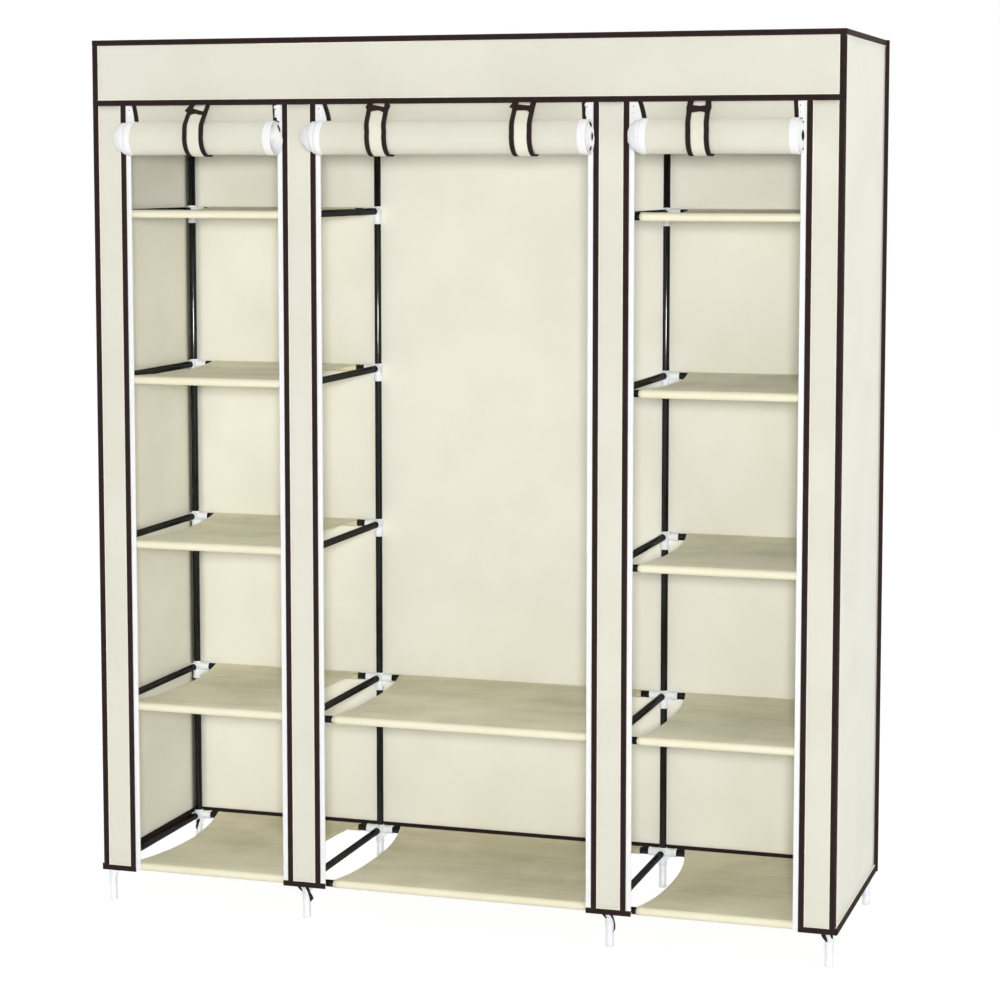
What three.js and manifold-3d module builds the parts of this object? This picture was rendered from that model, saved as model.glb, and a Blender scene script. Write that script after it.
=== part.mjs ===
// A free-standing fabric wardrobe: a plug-together tube frame with three bays of cloth shelves, under a
// loose cloth cover whose three zipped doors are rolled up and strapped below the front band.
// Millimetres, +Z up, X across the front, -Y towards the person who opens it.
import * as THREE from "three";
import { mergeVertices } from "three/addons/utils/BufferGeometryUtils.js";
import Module from "manifold-3d";

const wasm = await Module();
wasm.setup();

// Cover
const coverWidth = 1500;
const coverDepth = 450;
const coverHeight = 1740;
const coverSkin = 1.2;
const coverSlack = 3; // how loosely the cover hangs round the frame
const coverHemHeight = 66; // floor to the cover's lower hem
const headerHeight = 128; // the band above the doors
const outerFlapWidth = 70;
const innerFlapWidth = 69;
const zipTapeWidth = 10;

// Clearances
const restGap = 0.3; // between pieces that touch or plug together
const zipGap = 2.4; // between a tape and its door, where the slider's bridge runs
const overrun = 5; // how far a cut runs past what it cuts

// Tubes and plastic connectors
const tubeRadius = 7;
const tubeWall = 0.6;
const socketWall = 1.3;
const socketReach = 29.5; // post axis to the mouth of a cross socket
const socketFloor = 9.5; // post axis to the floor of a cross socket
const socketDrop = 27; // how far a connector reaches down the post
const sideSocketReach = 21;
const webReach = 24;
const webDrop = 21;
const webThickness = 3;
const pilotRadius = 4;
const footRadius = 8.25;
const footHeight = 60;
const tubeSides = 8;

// Frame layout
const middleBayWidth = 625; // between the axes of the two middle posts
const bottomShelfHeight = 74; // floor to the axis of the lowest rails
const shelfLevels = 5;
const middleShelfLevels = 2;

// Cloth shelves
const shelfSkin = 1;
const shelfSag = 4;
const shelfSagSteps = 4;
const shelfEndGap = 44; // post axis to the end of a shelf's sleeve
const shelfScoop = 25; // how far a shelf's side edge curves in
const bottomShelfScoop = 30;
const scoopSteps = 10;

// Hanging rod
const rodSocketReach = 24;
const rodSaddleLength = 30;

// Rolled-up doors
const rollRadius = 34;
const rollSkin = 2;
const rollPitch = 5.5; // from one turn to the next
const rollTurns = 4;
const rollSegments = 12;
const rollStandOff = 5.1; // from the flaps' face to the roll
const rollDrop = 65; // from the band's lower edge to the roll's axis
const rollLeftInset = 24; // from the flap's edge to the outer turn's left end
const rollRightOverhang = 6; // how far the outer turn laps over the flap on its right
const rollDome = 26; // how far the inner turns creep out to the left
const doorSkin = 1.2;

// Straps that hold the rolls
const strapWidth = 44;
const strapThickness = 1.6;
const strapArcSteps = 16; // in a full turn
const leftStrapOffset = 7.5; // from the middle of its door
const middleStrapOffsets = [-129, 160];
const rightStrapOffset = -18.5;

// Zip sliders
const sliderLength = 13;
const sliderPlate = 1.5;
const sliderBridge = 1.2;
const sliderGrip = 8; // how far its plates reach over the tape
const sliderTopGap = 2;
const pullerWidth = 5.5;
const pullerLength = 24;
const pullerThickness = 1.5;
const pullerHoleRadius = 1.4;
const pullerHoleRise = 4;

// Worked out from the sizes above
const socketBore = tubeRadius + restGap;
const socketRadius = socketBore + socketWall;
const topAxis = coverHeight - coverSkin - restGap - socketRadius;
const levelPitch = (topAxis - bottomShelfHeight) / shelfLevels;
const row = coverDepth / 2 - coverSkin - coverSlack - socketRadius;
const outerColumn = coverWidth / 2 - coverSkin - coverSlack - socketRadius;
const innerColumn = middleBayWidth / 2;
const columns = [-outerColumn, -innerColumn, innerColumn, outerColumn];
const columnNames = ["left_end", "left_middle", "right_middle", "right_end"];
const bayNames = ["left", "middle", "right"];
const bayLevels = [shelfLevels, middleShelfLevels, shelfLevels];
const headerBottom = coverHeight - headerHeight;
const frontFace = -coverDepth / 2;
const frontInside = frontFace + coverSkin;
const rollY = frontFace - rollStandOff - rollRadius;
const rollZ = headerBottom - rollDrop;
const frontReach = coverDepth / 2 + rollStandOff + 2 * rollRadius + restGap + strapThickness;
const middleOfDepth = (frontReach - coverDepth / 2) / 2;
const outerFlapEdge = coverWidth / 2 - outerFlapWidth;
const flapOuterEdge = innerColumn + innerFlapWidth / 2;
const flapInnerEdge = innerColumn - innerFlapWidth / 2;
const doorways = [
  { name: "left", left: -outerFlapEdge, right: -flapOuterEdge, straps: [leftStrapOffset] },
  { name: "middle", left: -flapInnerEdge, right: flapInnerEdge, straps: middleStrapOffsets },
  { name: "right", left: flapOuterEdge, right: outerFlapEdge, straps: [rightStrapOffset] },
];

const levelHeight = (level) => bottomShelfHeight + level * levelPitch;

// Finishes
const finishes = {
  tube: { color: 0x1b1a19, roughness: 0.3, metalness: 0.6 },
  cover: { color: 0xe9e7d8, roughness: 0.9, metalness: 0 },
  shelf: { color: 0xc9c4a4, roughness: 0.9, metalness: 0 },
  strap: { color: 0xe5e2d1, roughness: 0.9, metalness: 0 },
  slider: { color: 0xf4f4f2, roughness: 0.35, metalness: 0 },
};

// A closed geometry as a solid that can be joined and cut.
function solid(geometry) {
  const bare = geometry.clone();
  bare.deleteAttribute("normal");
  bare.deleteAttribute("uv");
  const merged = mergeVertices(bare, 1e-4);
  return new wasm.Manifold(
    new wasm.Mesh({
      numProp: 3,
      vertProperties: new Float32Array(merged.attributes.position.array),
      triVerts: new Uint32Array(merged.index.array),
    }),
  );
}

function joined(solids) {
  return solids.reduce((whole, piece) => whole.add(piece));
}

function geometryOf(manifold) {
  const { numProp, vertProperties, triVerts } = manifold.getMesh();
  const points = new Float32Array((vertProperties.length / numProp) * 3);
  for (let i = 0; i < points.length / 3; i += 1) {
    points.set(vertProperties.subarray(i * numProp, i * numProp + 3), i * 3);
  }
  const geometry = new THREE.BufferGeometry();
  geometry.setAttribute("position", new THREE.BufferAttribute(points, 3));
  geometry.setIndex(new THREE.BufferAttribute(new Uint32Array(triVerts), 1));
  geometry.computeVertexNormals();
  return geometry;
}

const wardrobe = new THREE.Group();
wardrobe.position.y = middleOfDepth;

function place(name, geometry, finish) {
  const mesh = new THREE.Mesh(geometry, new THREE.MeshStandardMaterial(finish));
  mesh.name = name;
  wardrobe.add(mesh);
}

function circlePoints(radius, sides, centre = [0, 0]) {
  const points = [];
  for (let i = 0; i < sides; i += 1) {
    const turn = (i / sides) * 2 * Math.PI;
    points.push(
      new THREE.Vector2(centre[0] + radius * Math.cos(turn), centre[1] + radius * Math.sin(turn)),
    );
  }
  return points;
}

function extruded(shape, depth) {
  return new THREE.ExtrudeGeometry(shape, { depth, bevelEnabled: false, steps: 1 });
}

// A round bar between two points, with an optional bore right through it.
function bar(from, to, radius, bore = 0) {
  const start = new THREE.Vector3(...from);
  const along = new THREE.Vector3(...to).sub(start);
  const shape = new THREE.Shape(circlePoints(radius, tubeSides));
  if (bore > 0) shape.holes.push(new THREE.Path(circlePoints(bore, tubeSides)));
  const geometry = extruded(shape, along.length());
  const turn = new THREE.Quaternion().setFromUnitVectors(
    new THREE.Vector3(0, 0, 1),
    along.normalize(),
  );
  return geometry.applyQuaternion(turn).translate(...start.toArray());
}

function block(low, high) {
  const size = high.map((value, i) => value - low[i]);
  const middle = high.map((value, i) => (value + low[i]) / 2);
  return new THREE.BoxGeometry(...size).translate(...middle);
}

// A profile drawn in the Y-Z plane, drawn out along X from one place to another.
function alongX(outline, holes, fromX, toX) {
  const shape = new THREE.Shape(outline);
  for (const hole of holes) shape.holes.push(new THREE.Path(hole));
  const geometry = extruded(shape, toX - fromX);
  const axes = new THREE.Matrix4().makeBasis(
    new THREE.Vector3(0, 1, 0),
    new THREE.Vector3(0, 0, 1),
    new THREE.Vector3(1, 0, 0),
  );
  return geometry.applyMatrix4(axes).translate(fromX, 0, 0);
}

// The three-cornered stiffening web under a cross socket.
function web(x, y, z, side) {
  const shape = new THREE.Shape([
    new THREE.Vector2(x, z),
    new THREE.Vector2(x + side * webReach, z),
    new THREE.Vector2(x, z - socketRadius - webDrop),
  ]);
  const geometry = extruded(shape, webThickness).rotateX(Math.PI / 2);
  return geometry.translate(0, y + webThickness / 2, 0);
}

// One connector's solid parts round a post: cross sockets, the sleeve down the post, the side socket.
function connectorParts(x, y, z, sides) {
  const parts = [
    bar([x, y, z - socketDrop], [x, y, z], socketRadius),
    bar([x, y, z], [x, y - Math.sign(y) * sideSocketReach, z], socketRadius),
  ];
  const left = sides.includes(-1) ? x - socketReach : x;
  const right = sides.includes(1) ? x + socketReach : x;
  parts.push(bar([left, y, z], [right, y, z], socketRadius));
  for (const side of sides) parts.push(web(x, y, z, side));
  return parts;
}

// Which sides of a column carry cross sockets at a level: none outwards at the two ends, and none
// into the middle bay where it has no shelf.
function socketSides(column, level) {
  const inMiddle = level < middleShelfLevels || level === shelfLevels;
  if (column === 0) return [1];
  if (column === columns.length - 1) return [-1];
  if (inMiddle) return [-1, 1];
  return column === 1 ? [-1] : [1];
}

function socketCut(x, y, z, side) {
  return bar(
    [x + side * socketFloor, y, z],
    [x + side * (socketReach + overrun), y, z],
    socketBore,
  );
}

// An upright frame: a front and a rear post on feet, the side rails between them, and connectors.
// The bores of posts and rails run into each other and open at the tops of the posts.
function uprightFrame(column) {
  const x = columns[column];
  const postTop = topAxis - socketFloor - restGap;
  const bore = tubeRadius - tubeWall;
  const parts = [];
  const cuts = [];
  for (const y of [-row, row]) {
    parts.push(bar([x, y, 0], [x, y, footHeight], footRadius));
    parts.push(bar([x, y, footHeight - overrun], [x, y, postTop], tubeRadius));
    cuts.push(bar([x, y, bottomShelfHeight], [x, y, postTop + overrun], bore));
  }
  for (let level = 0; level < shelfLevels; level += 1) {
    const z = levelHeight(level);
    parts.push(bar([x, -row, z], [x, row, z], tubeRadius));
    cuts.push(bar([x, -row, z], [x, row, z], bore));
    for (const y of [-row, row]) {
      const sides = socketSides(column, level);
      parts.push(...connectorParts(x, y, z, sides));
      for (const side of sides) cuts.push(socketCut(x, y, z, side));
    }
  }
  return joined(parts.map(solid)).subtract(joined(cuts.map(solid)));
}

// The top frame: long rails front and rear, a side rail at each column, connectors that the posts
// plug into from below, and two saddles that carry the hanging rod.
function topFrame() {
  const bore = tubeRadius - tubeWall;
  const parts = [];
  const cuts = [];
  for (const y of [-row, row]) {
    parts.push(bar([-outerColumn, y, topAxis], [outerColumn, y, topAxis], tubeRadius));
    cuts.push(bar([-outerColumn, y, topAxis], [outerColumn, y, topAxis], bore));
  }
  columns.forEach((x, column) => {
    parts.push(bar([x, -row, topAxis], [x, row, topAxis], tubeRadius));
    cuts.push(bar([x, -row, topAxis], [x, row, topAxis], bore));
    for (const y of [-row, row]) {
      parts.push(...connectorParts(x, y, topAxis, socketSides(column, shelfLevels)));
      const mouth = topAxis - socketDrop;
      cuts.push(bar([x, y, mouth - overrun], [x, y, topAxis - socketFloor], socketBore));
      cuts.push(bar([x, y, mouth], [x, y, topAxis], pilotRadius));
    }
  });
  for (const side of [-1, 1]) {
    const x = side * innerColumn;
    const half = rodSaddleLength / 2;
    const mouth = x - side * rodSocketReach;
    parts.push(bar([x, -half, topAxis], [x, half, topAxis], socketRadius));
    parts.push(bar([x, 0, topAxis], [mouth, 0, topAxis], socketRadius));
    cuts.push(bar([x - side * socketFloor, 0, topAxis], [mouth - side * overrun, 0, topAxis], socketBore));
  }
  return joined(parts.map(solid)).subtract(joined(cuts.map(solid)));
}

function rail(bay, y, z) {
  const from = columns[bay] + socketFloor + restGap;
  const to = columns[bay + 1] - socketFloor - restGap;
  return bar([from, y, z], [to, y, z], tubeRadius, tubeRadius - tubeWall);
}

function hangingRod() {
  const end = innerColumn - socketFloor - restGap;
  return bar([-end, 0, topAxis], [end, 0, topAxis], tubeRadius, tubeRadius - tubeWall);
}

// A cloth shelf: a sleeve round each of its two rails and a slack sheet from one to the other.
function shelfOutline() {
  const sleeve = tubeRadius + restGap + shelfSkin;
  const outline = [];
  const sagAt = (share) => shelfSag * (1 - (2 * share - 1) ** 2);
  const start = Math.acos((sleeve - shelfSkin) / sleeve);
  const arcSteps = tubeSides - 1;
  for (let i = 0; i <= shelfSagSteps; i += 1) {
    const share = i / shelfSagSteps;
    outline.push(new THREE.Vector2(-row + 2 * row * share, sleeve - sagAt(share)));
  }
  const arc = 2 * Math.PI - start;
  const rear = [];
  for (let i = 1; i <= arcSteps; i += 1) {
    const turn = Math.PI / 2 - (arc * i) / arcSteps;
    rear.push(new THREE.Vector2(row + sleeve * Math.cos(turn), sleeve * Math.sin(turn)));
  }
  outline.push(...rear);
  for (let i = shelfSagSteps - 1; i > 0; i -= 1) {
    const share = i / shelfSagSteps;
    outline.push(new THREE.Vector2(-row + 2 * row * share, sleeve - shelfSkin - sagAt(share)));
  }
  outline.push(...rear.map((point) => new THREE.Vector2(-point.x, point.y)).reverse());
  return outline;
}

// What is cut from a shelf's side so that its edge curves in between the rails.
function scoop(endX, side, depth) {
  const half = row + tubeRadius + restGap + shelfSkin;
  const radius = (half ** 2 + depth ** 2) / (2 * depth);
  const reach = Math.asin(half / radius);
  const points = [];
  for (let i = 0; i <= scoopSteps; i += 1) {
    const turn = -reach + (2 * reach * i) / scoopSteps;
    const inwards = radius * Math.cos(turn) - radius + depth;
    points.push(new THREE.Vector2(endX - side * inwards, radius * Math.sin(turn)));
  }
  points[0].y -= overrun;
  points[scoopSteps].y += overrun;
  points.push(new THREE.Vector2(endX + side * overrun, points[scoopSteps].y));
  points.push(new THREE.Vector2(endX + side * overrun, points[0].y));
  const height = 2 * (socketRadius + shelfSag);
  return extruded(new THREE.Shape(points), height).translate(0, 0, -height / 2);
}

function shelf(bay, level) {
  const fromX = columns[bay] + shelfEndGap;
  const toX = columns[bay + 1] - shelfEndGap;
  const holes = [-row, row].map((y) => circlePoints(tubeRadius + restGap, tubeSides, [y, 0]));
  const depth = level === 0 ? bottomShelfScoop : shelfScoop;
  const cuts = [scoop(fromX, -1, depth), scoop(toX, 1, depth)].map(solid);
  const sheet = solid(alongX(shelfOutline(), holes, fromX, toX));
  return geometryOf(sheet.subtract(joined(cuts))).translate(0, 0, levelHeight(level));
}

// The back, the two sides and the top of the cover, sewn into one piece that is open below.
function coverShell() {
  const side = coverWidth / 2;
  const back = coverDepth / 2;
  const front = frontInside + restGap;
  const outside = block([-side, front, coverHemHeight], [side, back, coverHeight]);
  const inside = block(
    [-side + coverSkin, front - overrun, coverHemHeight - overrun],
    [side - coverSkin, back - coverSkin, coverHeight - coverSkin],
  );
  return geometryOf(solid(outside).subtract(solid(inside)));
}

// The cover's front: the band across the top and the four flaps, with the zip tapes on their edges.
function coverFront() {
  const side = coverWidth / 2;
  const outline = [
    new THREE.Vector2(-side, coverHemHeight),
    new THREE.Vector2(-side, coverHeight),
    new THREE.Vector2(side, coverHeight),
    new THREE.Vector2(side, coverHemHeight),
  ];
  for (const doorway of [...doorways].reverse()) {
    const left = doorway.left + zipTapeWidth;
    const right = doorway.right - zipTapeWidth;
    outline.push(new THREE.Vector2(right, coverHemHeight));
    outline.push(new THREE.Vector2(right, headerBottom));
    outline.push(new THREE.Vector2(left, headerBottom));
    outline.push(new THREE.Vector2(left, coverHemHeight));
  }
  const panel = extruded(new THREE.Shape(outline), coverSkin).rotateX(Math.PI / 2);
  return panel.translate(0, frontInside, 0);
}

// The part of a door that still hangs flat between the band and the roll.
function doorPanel(doorway) {
  const top = headerBottom - restGap;
  const foot = rollZ + restGap;
  const rollBack = rollY + rollRadius;
  const outline = [
    new THREE.Vector2(frontFace, top),
    new THREE.Vector2(frontFace + doorSkin, top),
    new THREE.Vector2(rollBack, foot),
    new THREE.Vector2(rollBack - doorSkin, foot),
  ];
  const fromX = doorway.left + zipTapeWidth + zipGap;
  const toX = doorway.right - zipTapeWidth - zipGap;
  return alongX(outline.reverse(), [], fromX, toX);
}

// A rolled-up door: a spiral of cloth whose inner turns creep out to the left.
function doorRoll(doorway) {
  const outer = [];
  const inner = [];
  const steps = rollTurns * rollSegments;
  for (let i = 0; i <= steps; i += 1) {
    const turn = -(i / rollSegments) * 2 * Math.PI;
    const radius = rollRadius - (rollPitch * i) / rollSegments;
    outer.push(new THREE.Vector2(radius * Math.cos(turn), radius * Math.sin(turn)));
    const within = radius - rollSkin;
    inner.push(new THREE.Vector2(within * Math.cos(turn), within * Math.sin(turn)));
  }
  const fromX = doorway.left + rollLeftInset;
  const toX = doorway.right + rollRightOverhang;
  const geometry = alongX([...outer, ...inner.reverse()], [], fromX, toX);
  const points = geometry.attributes.position;
  for (let i = 0; i < points.count; i += 1) {
    const radius = Math.hypot(points.getY(i), points.getZ(i));
    const creep = rollDome * (1 - (radius / rollRadius) ** 2);
    points.setX(i, points.getX(i) - creep);
  }
  return geometry.translate(0, rollY, rollZ);
}

// A strap: from the band's lower edge down the front of the roll, under it and up behind the door.
function strap(x) {
  const top = headerBottom - restGap;
  const half = strapThickness / 2;
  const wrap = rollRadius + restGap + half;
  const seam = new THREE.Vector2(frontFace - restGap - half, top);
  const path = [seam];
  const lean = Math.atan2(seam.y - rollZ, seam.x - rollY);
  const first = lean + Math.acos(wrap / Math.hypot(seam.x - rollY, seam.y - rollZ));
  const onArc = (turn) => {
    path.push(new THREE.Vector2(rollY + wrap * Math.cos(turn), rollZ + wrap * Math.sin(turn)));
  };
  onArc(first);
  const firstStep = Math.ceil((first * strapArcSteps) / (2 * Math.PI));
  for (let i = firstStep; i <= strapArcSteps; i += 1) onArc((i / strapArcSteps) * 2 * Math.PI);
  path.push(new THREE.Vector2(frontFace + doorSkin + restGap + half, top));
  const outer = [];
  const inner = [];
  path.forEach((point, i) => {
    const before = path[Math.max(i - 1, 0)];
    const after = path[Math.min(i + 1, path.length - 1)];
    const ahead = after.clone().sub(before).normalize();
    const across = new THREE.Vector2(-ahead.y, ahead.x).multiplyScalar(half);
    if (i === 0 || i === path.length - 1) across.set(Math.sign(across.x) * half, 0);
    outer.push(point.clone().sub(across));
    inner.push(point.clone().add(across));
  });
  return alongX([...outer, ...inner.reverse()], [], x - strapWidth / 2, x + strapWidth / 2);
}

// A zip slider that grips the edge of a tape, with its puller hanging in front.
function slider(edge, side) {
  const top = headerBottom - restGap - sliderTopGap;
  const bottom = top - sliderLength;
  const tapeSide = edge - side * sliderGrip;
  const doorSide = edge + side * (restGap + sliderBridge);
  const front = frontFace - restGap - sliderPlate;
  const back = frontInside + restGap + sliderPlate;
  const between = (a, b) => [Math.min(a, b), Math.max(a, b)];
  const [bodyLeft, bodyRight] = between(tapeSide, doorSide);
  const [slotLeft, slotRight] = between(tapeSide - side * overrun, edge + side * restGap);
  const body = solid(block([bodyLeft, front, bottom], [bodyRight, back, top]));
  const slot = solid(
    block(
      [slotLeft, frontFace - restGap, bottom - overrun],
      [slotRight, frontInside + restGap, top + overrun],
    ),
  );
  const middle = (bodyLeft + bodyRight) / 2;
  const pullerTop = (top + bottom) / 2;
  const pullerFoot = pullerTop - pullerLength;
  const outline = new THREE.Shape([
    new THREE.Vector2(middle - pullerWidth / 2, pullerFoot),
    new THREE.Vector2(middle + pullerWidth / 2, pullerFoot),
    new THREE.Vector2(middle + pullerWidth / 2, pullerTop),
    new THREE.Vector2(middle - pullerWidth / 2, pullerTop),
  ]);
  const holeAt = [middle, pullerFoot + pullerHoleRise];
  outline.holes.push(new THREE.Path(circlePoints(pullerHoleRadius, tubeSides, holeAt)));
  const thickness = pullerThickness + sliderPlate / 2;
  const puller = extruded(outline, thickness).rotateX(Math.PI / 2);
  puller.translate(0, front + sliderPlate / 2, 0);
  return geometryOf(body.subtract(slot).add(solid(puller)));
}

columns.forEach((x, column) => {
  place(columnNames[column] + "_frame", geometryOf(uprightFrame(column)), finishes.tube);
});
place("top_frame", geometryOf(topFrame()), finishes.tube);
place("hanging_rod", hangingRod(), finishes.tube);

bayNames.forEach((name, bay) => {
  for (let level = 0; level < bayLevels[bay]; level += 1) {
    const number = level + 1;
    const z = levelHeight(level);
    place(name + "_bay_front_rail_" + number, rail(bay, -row, z), finishes.tube);
    place(name + "_bay_rear_rail_" + number, rail(bay, row, z), finishes.tube);
    place(name + "_bay_shelf_" + number, shelf(bay, level), finishes.shelf);
  }
});

place("cover_shell", coverShell(), finishes.cover);
place("cover_front", coverFront(), finishes.cover);

for (const doorway of doorways) {
  place(doorway.name + "_door_panel", doorPanel(doorway), finishes.cover);
  place(doorway.name + "_door_roll", doorRoll(doorway), finishes.cover);
  doorway.straps.forEach((offset, i) => {
    const x = (doorway.left + doorway.right) / 2 + offset;
    place(doorway.name + "_door_strap_" + (i + 1), strap(x), finishes.strap);
  });
  const leftTape = doorway.left + zipTapeWidth;
  const rightTape = doorway.right - zipTapeWidth;
  place(doorway.name + "_door_left_slider", slider(leftTape, 1), finishes.slider);
  place(doorway.name + "_door_right_slider", slider(rightTape, -1), finishes.slider);
}

export default wardrobe;
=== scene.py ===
"""The looks of a free-standing cloth wardrobe with rolled-up doors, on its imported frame. Metres, +Z up."""

import math

import bmesh
import bpy
import numpy as np
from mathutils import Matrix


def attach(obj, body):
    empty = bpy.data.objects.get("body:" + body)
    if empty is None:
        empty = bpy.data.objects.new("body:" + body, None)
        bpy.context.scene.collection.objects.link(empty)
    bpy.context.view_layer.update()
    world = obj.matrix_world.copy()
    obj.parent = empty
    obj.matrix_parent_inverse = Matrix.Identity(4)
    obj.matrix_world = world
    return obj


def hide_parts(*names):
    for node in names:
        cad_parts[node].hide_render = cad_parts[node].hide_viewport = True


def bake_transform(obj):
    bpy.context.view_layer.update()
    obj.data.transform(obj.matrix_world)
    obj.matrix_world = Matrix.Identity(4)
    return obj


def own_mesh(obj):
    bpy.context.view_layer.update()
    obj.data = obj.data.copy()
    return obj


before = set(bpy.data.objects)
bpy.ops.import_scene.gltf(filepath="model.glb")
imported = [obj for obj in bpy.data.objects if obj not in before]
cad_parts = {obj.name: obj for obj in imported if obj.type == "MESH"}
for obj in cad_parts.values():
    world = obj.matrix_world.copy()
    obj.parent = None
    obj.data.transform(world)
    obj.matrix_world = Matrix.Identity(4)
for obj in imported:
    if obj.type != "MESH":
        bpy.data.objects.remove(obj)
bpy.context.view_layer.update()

MM = 0.001
X, Y, Z = np.eye(3)

# Cover: half its width, its front and back, and the heights of its hem, its band's seam and its top
SIDE, FRONT, BACK = 0.75, -0.1875, 0.2625
HEM, BAND, TOP = 0.066, 1.612, 1.74
# Its cloth's thickness, how near to an edge the cloth is held flat, and the widths of its tapes
CLOTH, HELD = 0.0008, 0.05
SKIN = CLOTH / 2
BINDING, TAPE, LINE = 0.011, 0.010, 0.0016
EDGE = BINDING / 2
# The sides of its doorways, and of the flaps between them
DOORS = {"left": (-0.680, -0.347), "middle": (-0.278, 0.278), "right": (0.347, 0.680)}
UPRIGHTS = ("left_end", "left_middle", "right_middle", "right_end")
FLAP_EDGES = (-SIDE, *DOORS["left"], *DOORS["middle"], *DOORS["right"], SIDE)
FLAPS = dict(zip(UPRIGHTS, zip(FLAP_EDGES[::2], FLAP_EDGES[1::2])))
FLAP_TOP = BAND + 0.004

# Tube frame: its posts' places across and in depth, its levels, and each bay's number of shelves
COLUMNS = (-0.7372, -0.3125, 0.3125, 0.7372)
ROWS = (-0.1747, 0.2497)
MIDDLE = sum(ROWS) / 2
FIRST_LEVEL, PITCH, TOP_AXIS = 0.074, 0.33118, 1.7299
LEVELS = [FIRST_LEVEL + PITCH * i for i in range(5)]
BAYS = {"left": 5, "middle": 2, "right": 5}
# Radii of its parts, a post's two ends, and how far rails end from a post's axis
TUBE, SOCKET, FOOT = 0.007, 0.0086, 0.00825
POST_FOOT, POST_TOP = 0.061, 1.7203
END_GAP, RAIL_GAP = 0.001, 0.0098

# Connectors: the lengths of their arms, how far parts overlap, and a socket's rim, bore and web
ARM, ROD_ARM, DROP, INWARD = 0.0315, 0.024, 0.027, 0.0216
OVERLAP = 0.002
RIM, RIM_LENGTH, RIM_SLOPE, RIM_EDGE = 0.0006, 0.0044, 0.0008, 0.0007
PLAY, BORE = 0.0002, 0.006
MOUTH = TUBE + PLAY / 2
WEB_REACH, WEB_DROP, WEB_CURVE, WEB_HALF = 0.0235, 0.0245, 1.25, 0.0015

# Outlines of turned ends, as distance and radius: a foot, a cap, a collar, a closed crown and a saddle
FOOT_LINE = [(0, 0.0064), (0.0004, 0.0074), (0.0016, 0.0081), (0.003, FOOT)]
FOOT_LINE += [(0.0072, FOOT), (0.0078, 0.0079), (0.059, 0.0079), (0.0602, 0.0072)]
CAP = [(0, 0.003), (0.0004, 0.0062), (0.0016, 0.0082), (0.0026, SOCKET), (0.012, SOCKET)]
COLLAR = [(0, SOCKET), (0.0093, SOCKET), (0.0102, SOCKET - 0.0005), (0.0102, MOUTH), (0.004, MOUTH)]
CROWN = [(0, SOCKET), (0.0072, SOCKET - 0.001), (0.0084, SOCKET - 0.0035), (0.0088, 0.002)]
SADDLE = 0.030
SADDLE_LINE = [(0, TUBE), (0, SOCKET), (0.001, SOCKET + 0.0004)]
SADDLE_LINE += [(SADDLE - 0.001, SOCKET + 0.0004), (SADDLE, SOCKET), (SADDLE, TUBE)]

# Shelves: how far the cloth ends from a post, how far its edges curve in, its sag and its hems
SHELF_END, LOW_SCOOP, SCOOP, SCOOP_HALF = 0.044, 0.030, 0.025, 0.2205
SAG, EDGE_DROP, HEM_WIDTH, LAP_WIDTH = 0.004, 0.0016, 0.007, 0.006
# How far each bay's front sleeves are cut back at the left, and how far in the sleeves reach
SLEEVE_GAPS = {"left": 0.0, "middle": 0.014, "right": 0.009}
SLEEVE_REACH = ROWS[0] + 0.0235

# Rolled doors: a roll's place and radius, and its turns and core
ROLL_Y, ROLL_Z, ROLL = -0.2266, 1.547, 0.034
ROLL_TURNS, TURN_STEPS, ROLL_CORE = 12, 36, 0.0052
# The flat part above a roll: its heights, and how far out it leans
PANEL_TOP, PANEL_FOOT, PANEL_LEAN = BAND - 0.0003, ROLL_Z - 0.002, 0.0055
# Each roll's ends, how far its inner turns creep to the left, and how blunt that makes its left end
ROLL_ENDS = {
    "left": (-0.653, -0.3440, 0.026, 6.0),
    "middle": (-0.2565, 0.2815, 0.034, 3.2),
    "right": (0.381, 0.6765, 0.024, 4.0),
}
# Where the edging shows at each right-hand end: from and to angle, width in mm, and share of the radius
CURLS = {
    "left": ((1.45, 1.95, 5, 0.94), (2.1, 2.75, 3.5, 0.84)),
    "middle": ((2.0, 2.5, 4, 0.88), (2.85, 3.4, 3.5, 0.82), (3.75, 4.2, 3, 0.88)),
    "right": ((1.5, 1.75, 5, 0.93), (2.75, 3.45, 5, 0.80), (2.1, 2.3, 2, 0.92), (3.9, 4.1, 2, 0.92)),
}
# How far in from its doorway a door's left and right edge start at the seam, and how far they lean
DOOR_EDGES = {
    "left": (0.0138, 0.0063, 0.0120, 0.0028),
    "middle": (0.0144, 0.0100, 0.0146, 0.0020),
    "right": (0.0162, 0.0085, 0.0164, 0.0022),
}

# Straps: the widths of one and of its bindings, and how far down it leans towards the seam
STRAP, STRAP_EDGE, STRAP_FALL = 0.044, 0.0098, 0.092
# Outlines of the straps' folded tabs, across and down from the seam, in mm
LEFT_TAB = [(-20, 0), (-27, 24), (-19, 33), (-12, 39), (-3, 34), (7, 39), (18, 40)]
LEFT_TAB += [(20, 28), (11, 27), (-4, 20), (-12, 16), (-10, 0)]
NEAR_TAB = [(-22, 0), (-25, 17), (-21, 23), (-14, 31), (3, 27), (12, 34), (20, 45)]
NEAR_TAB += [(25, 10), (20, 1), (13, 1), (13, 16), (2, 12), (-11, 8), (-12, 1)]
FAR_TAB = [(-23, 1), (-28, 19), (-22, 24), (-12, 31), (7, 31), (13, 38), (22, 38)]
FAR_TAB += [(23, 1), (12, 1), (12, 15), (0, 13), (-13, 10), (-13, 1)]
RIGHT_TAB = [(-22, 1), (-23, 27), (-22, 40), (-12, 43), (4, 39), (13, 43), (22, 42)]
RIGHT_TAB += [(24, 27), (22, 1), (12, 1), (12, 19), (1, 21), (-12, 18), (-11, 1)]
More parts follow.
